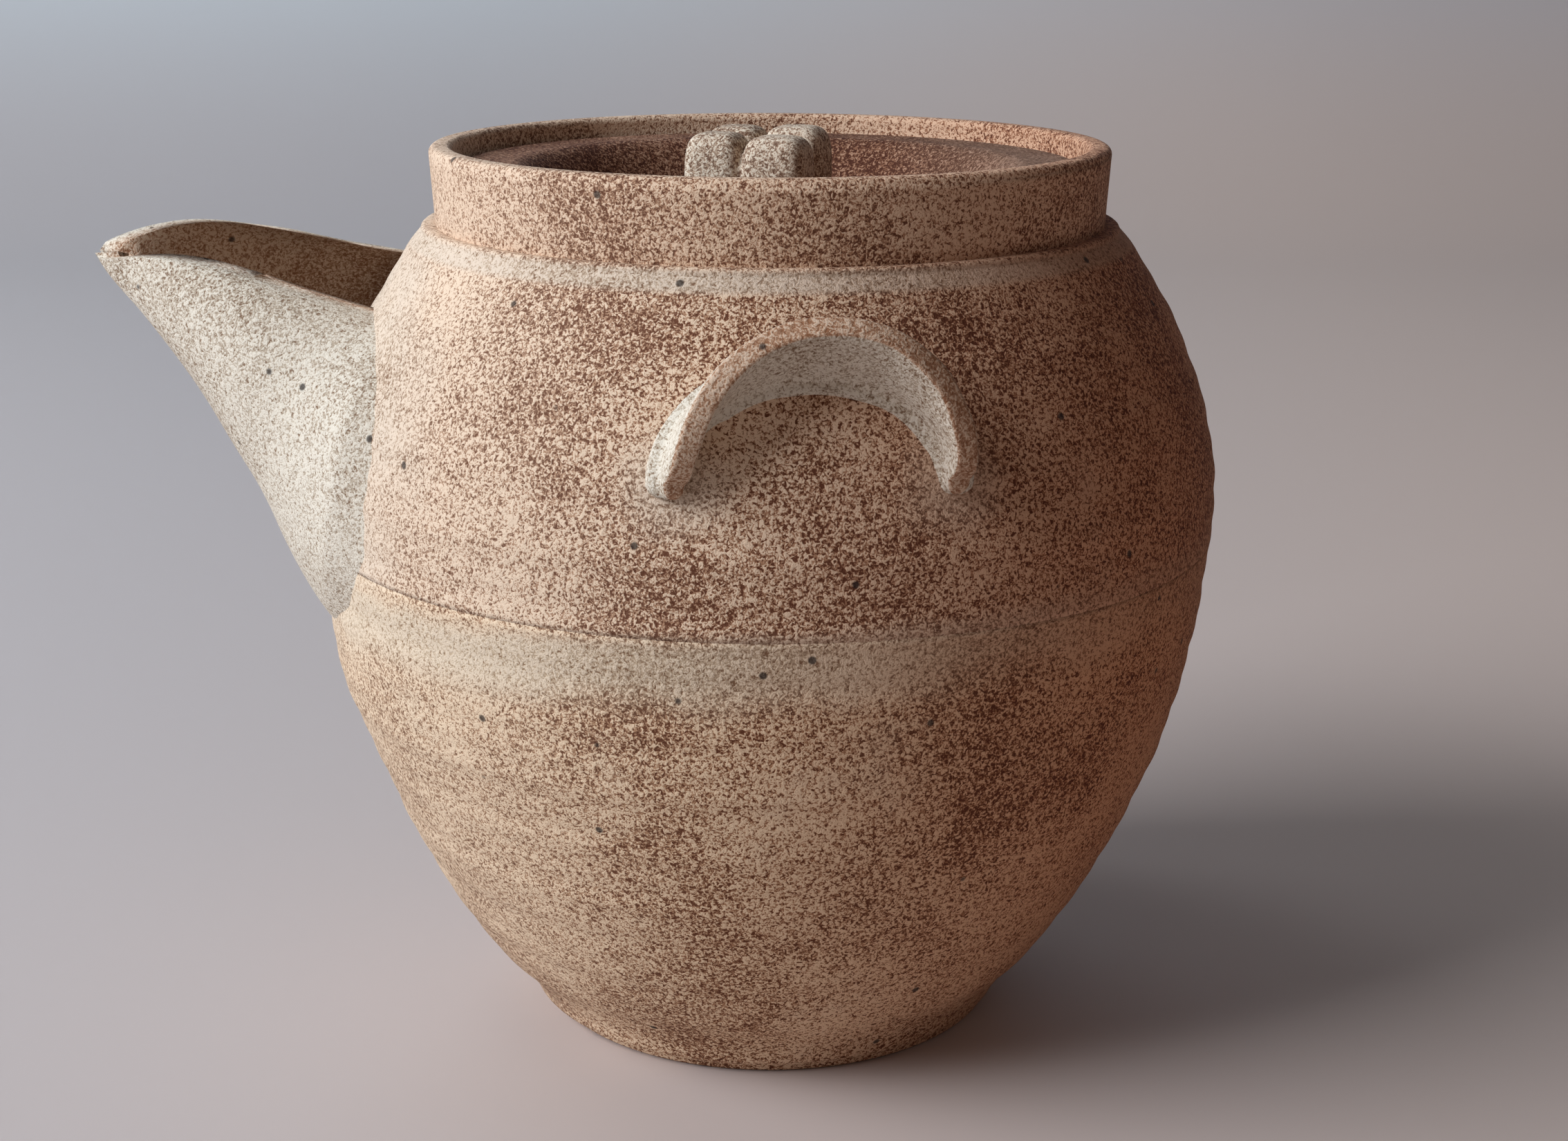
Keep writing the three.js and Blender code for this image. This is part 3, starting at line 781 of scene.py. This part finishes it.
# Pale slip wiped round the spout's root and the ears' legs, in millimetres
SPOUT_SMEAR_FRONT = -15.0
SPOUT_SMEAR_CENTRE = 64.5
SPOUT_SMEAR_HALF_WIDTH = 24.5
SPOUT_SMEAR_HALF_HEIGHT = 18.0
SPOUT_SMEAR_REACH = 1.38
SPOUT_SMEAR_FADE = 0.40
SPOUT_SMEAR_RAGGED = 0.14
SPOUT_SMEAR_NOISE = 0.4
SPOUT_SMEAR_SHARE = 0.85
EAR_SMEAR_FULL = 1.5
EAR_SMEAR_FADE = 4.5
EAR_SMEAR_NOISE = 0.6
EAR_SMEAR_SHARE = 0.75

# Painted light on the lid's right inner wall, which faces the window: it is paler from here outwards, in
# millimetres
LID_LIGHT_START = 12.0
LID_LIGHT_FADE = 14.0
LID_LIGHT_SHARE = 0.7


def spout_smear(points):
    """Share of pale slip on the jar round the spout's root, fading over some millimetres."""
    y, z = points[:, 1], points[:, 2]
    ring = np.hypot(y / SPOUT_SMEAR_HALF_WIDTH, (z - SPOUT_SMEAR_CENTRE) / SPOUT_SMEAR_HALF_HEIGHT)
    ragged = SPOUT_SMEAR_RAGGED * smooth_noise(points, SPOUT_SMEAR_NOISE)
    fade = np.clip(SPOUT_SMEAR_REACH - ring + ragged, 0, SPOUT_SMEAR_FADE) / SPOUT_SMEAR_FADE
    return np.where(points[:, 0] < SPOUT_SMEAR_FRONT, fade, 0) * SPOUT_SMEAR_SHARE


def ear_smear(points):
    """Share of pale slip below and round the ears' legs."""
    total = np.zeros(len(points))
    fade = EAR_SMEAR_FADE + smooth_noise(points, EAR_SMEAR_NOISE)
    for side in (1, -1):
        for turn in (0.0, math.pi):
            foot = ear_place(turn) * np.array([1, side, 1])
            away = np.linalg.norm(points - foot, axis=1)
            near = np.clip(1 - (away - EAR_SMEAR_FULL) / fade, 0, 1)
            total = np.maximum(total, near * EAR_SMEAR_SHARE)
    return total


def dress(obj, material, body, node):
    obj.data.materials.clear()
    obj.data.materials.append(material)
    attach(obj, body)
    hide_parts(node)


def make_pot():
    bowl_clay = stoneware("clay_bowl", grain=0.465, banded=True, tint=linear(255, 240, 226))
    shoulder_clay = stoneware("clay_shoulder", grain=0.468, banded=True, tint=linear(250, 236, 228))
    collar_clay = stoneware("clay_collar", grain=0.465, pale=0.08, tint=linear(250, 232, 222), painted_shade=0.55)
    spout_clay = stoneware("clay_spout", grain=0.475, pale=0.80, painted_light=0, painted_shade=0)
    ear_clay = stoneware("clay_ear", grain=0.47, pale=0.85, painted_light=0, painted_shade=0.3)
    bowl, top = lower_bowl(), shoulder()
    for obj in (bowl, top):
        points = vertices(obj)
        paint(obj, "slip_smear_and_painted_light", np.maximum(spout_smear(points), ear_smear(points)))
    dress(bowl, bowl_clay, "pot", "lower_bowl")
    dress(top, shoulder_clay, "pot", "shoulder")
    dress(collar(), collar_clay, "pot", "neck_collar")
    dress(spout(), spout_clay, "pot", "spout")
    dress(ear("ear_near_skin", 1), ear_clay, "pot", "ear_near")
    dress(ear("ear_far_skin", -1), ear_clay, "pot", "ear_far")
    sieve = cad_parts["strainer"]
    sieve.data.materials.clear()
    sieve.data.materials.append(bowl_clay)


def make_lid():
    # Painted shade: the lid's dark brown tint stands in for the shade in its sunken dish
    lid_clay = stoneware("clay_lid", grain=0.53, pale=0.05, tint=linear(176, 140, 124), painted_light=0, painted_shade=0)
    knob_clay = stoneware("clay_knob", grain=0.48, pale=0.3, painted_light=0.2, painted_shade=0.6)
    dish = lid()
    across = vertices(dish)[:, 0]
    # Painted light: the lid is paler towards the right, where its inner wall faces the window
    paint(dish, "slip_smear_and_painted_light", np.clip((across - LID_LIGHT_START) / LID_LIGHT_FADE, 0, 1) * LID_LIGHT_SHARE)
    dress(dish, lid_clay, "lid", "lid_dish")
    dress(knob(), knob_clay, "lid", "lid_knob")


make_pot()
make_lid()

# Camera, fitted to the outlines of the photograph: metres, degrees and pixels
CAMERA_DISTANCE = 0.254
CAMERA_HEIGHT = 0.118
CAMERA_PITCH = 15.54
CAMERA_YAW = 0.35
CAMERA_ROLL = 0.19
CAMERA_CLIP = (0.01, 20)
FOCAL_PIXELS = 3500.0
FRAME_WIDTH = 2268.0
SENSOR = 36.0

# Floor that bends up into a backdrop, in metres, and its colours, which paint light and shade: the backdrop
# lighter at the left, under the window, and darker at the right; the floor toned down at the left, where the
# lamp falls strongest, and lighter and warmer at the right, as painted warm shade
SWEEP_FRONT = -1.2
SWEEP_DEPTH = 0.9
SWEEP_WIDTH = 3.0
SWEEP_BEND = 0.35
SWEEP_TOP = 1.4
SWEEP_STEPS = 24
FLOOR_LEFT, FLOOR_RIGHT = linear(184, 174, 172), linear(214, 192, 180)
WALL_LEFT, WALL_RIGHT = linear(230, 246, 252), linear(190, 206, 222)
FLOOR_ACROSS = (-0.15, 0.2)
WALL_ACROSS = (-0.2, 0.3)
FLOOR_TO_WALL = (0.0, 0.22)
PAPER_ROUGHNESS = 0.6
PAPER_SPECULAR = 0.3

# Lamps: name, place, aim, size, watts, colour; the sky lights only the backdrop
LAMPS = (
    ("window", (-0.68, -0.24, 0.52), (0, 0, 0.05), (0.6, 0.5), 9.6, (0.91, 0.98, 1.06)),
    ("fill", (0.5, -0.9, 0.6), (0, 0, 0.05), (0.8, 0.8), 0.32, (1.0, 0.62, 0.42)),
    ("sky", (-0.5, 0.35, 0.9), (-0.45, 0.9, 0.4), (0.4, 0.4), 2.4, (0.83, 0.97, 1.12)),
)
ROOM_COLOUR = (0.86, 0.80, 0.78, 1)
ROOM_STRENGTH = 0.11


def make_camera():
    data = bpy.data.cameras.new("camera")
    data.sensor_width = SENSOR
    data.lens = FOCAL_PIXELS / FRAME_WIDTH * SENSOR
    data.clip_start, data.clip_end = CAMERA_CLIP
    camera = bpy.data.objects.new("camera", data)
    turn = Matrix.Rotation(math.radians(-CAMERA_YAW), 4, "Z")
    turn = turn @ Matrix.Rotation(math.radians(90 - CAMERA_PITCH), 4, "X")
    turn = turn @ Matrix.Rotation(math.radians(CAMERA_ROLL), 4, "Z")
    camera.matrix_world = Matrix.Translation((0, -CAMERA_DISTANCE, CAMERA_HEIGHT)) @ turn
    bpy.context.scene.collection.objects.link(camera)
    bpy.context.scene.camera = camera


def make_stage():
    foot = SWEEP_DEPTH - SWEEP_BEND
    path = [(SWEEP_FRONT, 0.0), (foot, 0.0)]
    path += [(foot + SWEEP_BEND * math.sin(t), SWEEP_BEND - SWEEP_BEND * math.cos(t))
             for t in np.linspace(0, math.pi / 2, SWEEP_STEPS)[1:]]
    path += [(SWEEP_DEPTH, SWEEP_TOP)]
    points = [(x, y, z) for y, z in path for x in (-SWEEP_WIDTH / 2, SWEEP_WIDTH / 2)]
    faces = [(2 * i, 2 * i + 1, 2 * i + 3, 2 * i + 2) for i in range(len(path) - 1)]
    sweep = mesh_object("sweep", points, faces)
    material = bpy.data.materials.new("sweep_paper")
    n = Nodes(material)
    xyz = n.add("ShaderNodeSeparateXYZ", {0: n.place}).outputs
    # Painted light and shade across the sweep: lighter backdrop at the left, warmer floor at the right
    floor = n.mix(n.ramp(xyz[0], *FLOOR_ACROSS), FLOOR_LEFT, FLOOR_RIGHT)
    wall = n.mix(n.ramp(xyz[0], *WALL_ACROSS), WALL_LEFT, WALL_RIGHT)
    colour = n.mix(n.ramp(xyz[2], *FLOOR_TO_WALL), floor, wall)
    n.surface(PAPER_SPECULAR, {"Base Color": colour, "Roughness": PAPER_ROUGHNESS})
    sweep.data.materials.append(material)


def make_light():
    for name, place, aim, size, watts, colour in LAMPS:
        data = bpy.data.lights.new(name, "AREA")
        data.shape = "RECTANGLE"
        data.size, data.size_y = size
        data.energy = watts
        data.color = colour
        light = bpy.data.objects.new(name, data)
        light.location = place
        light.rotation_mode = "QUATERNION"
        light.rotation_quaternion = (Vector(aim) - Vector(place)).to_track_quat("-Z", "Y")
        bpy.context.scene.collection.objects.link(light)
    world = bpy.data.worlds.new("room")
    bpy.context.scene.world = world
    world.use_nodes = True
    background = world.node_tree.nodes["Background"]
    background.inputs[0].default_value = ROOM_COLOUR
    background.inputs[1].default_value = ROOM_STRENGTH


make_camera()
make_stage()
make_light()
bpy.context.scene.view_settings.view_transform = "Standard"
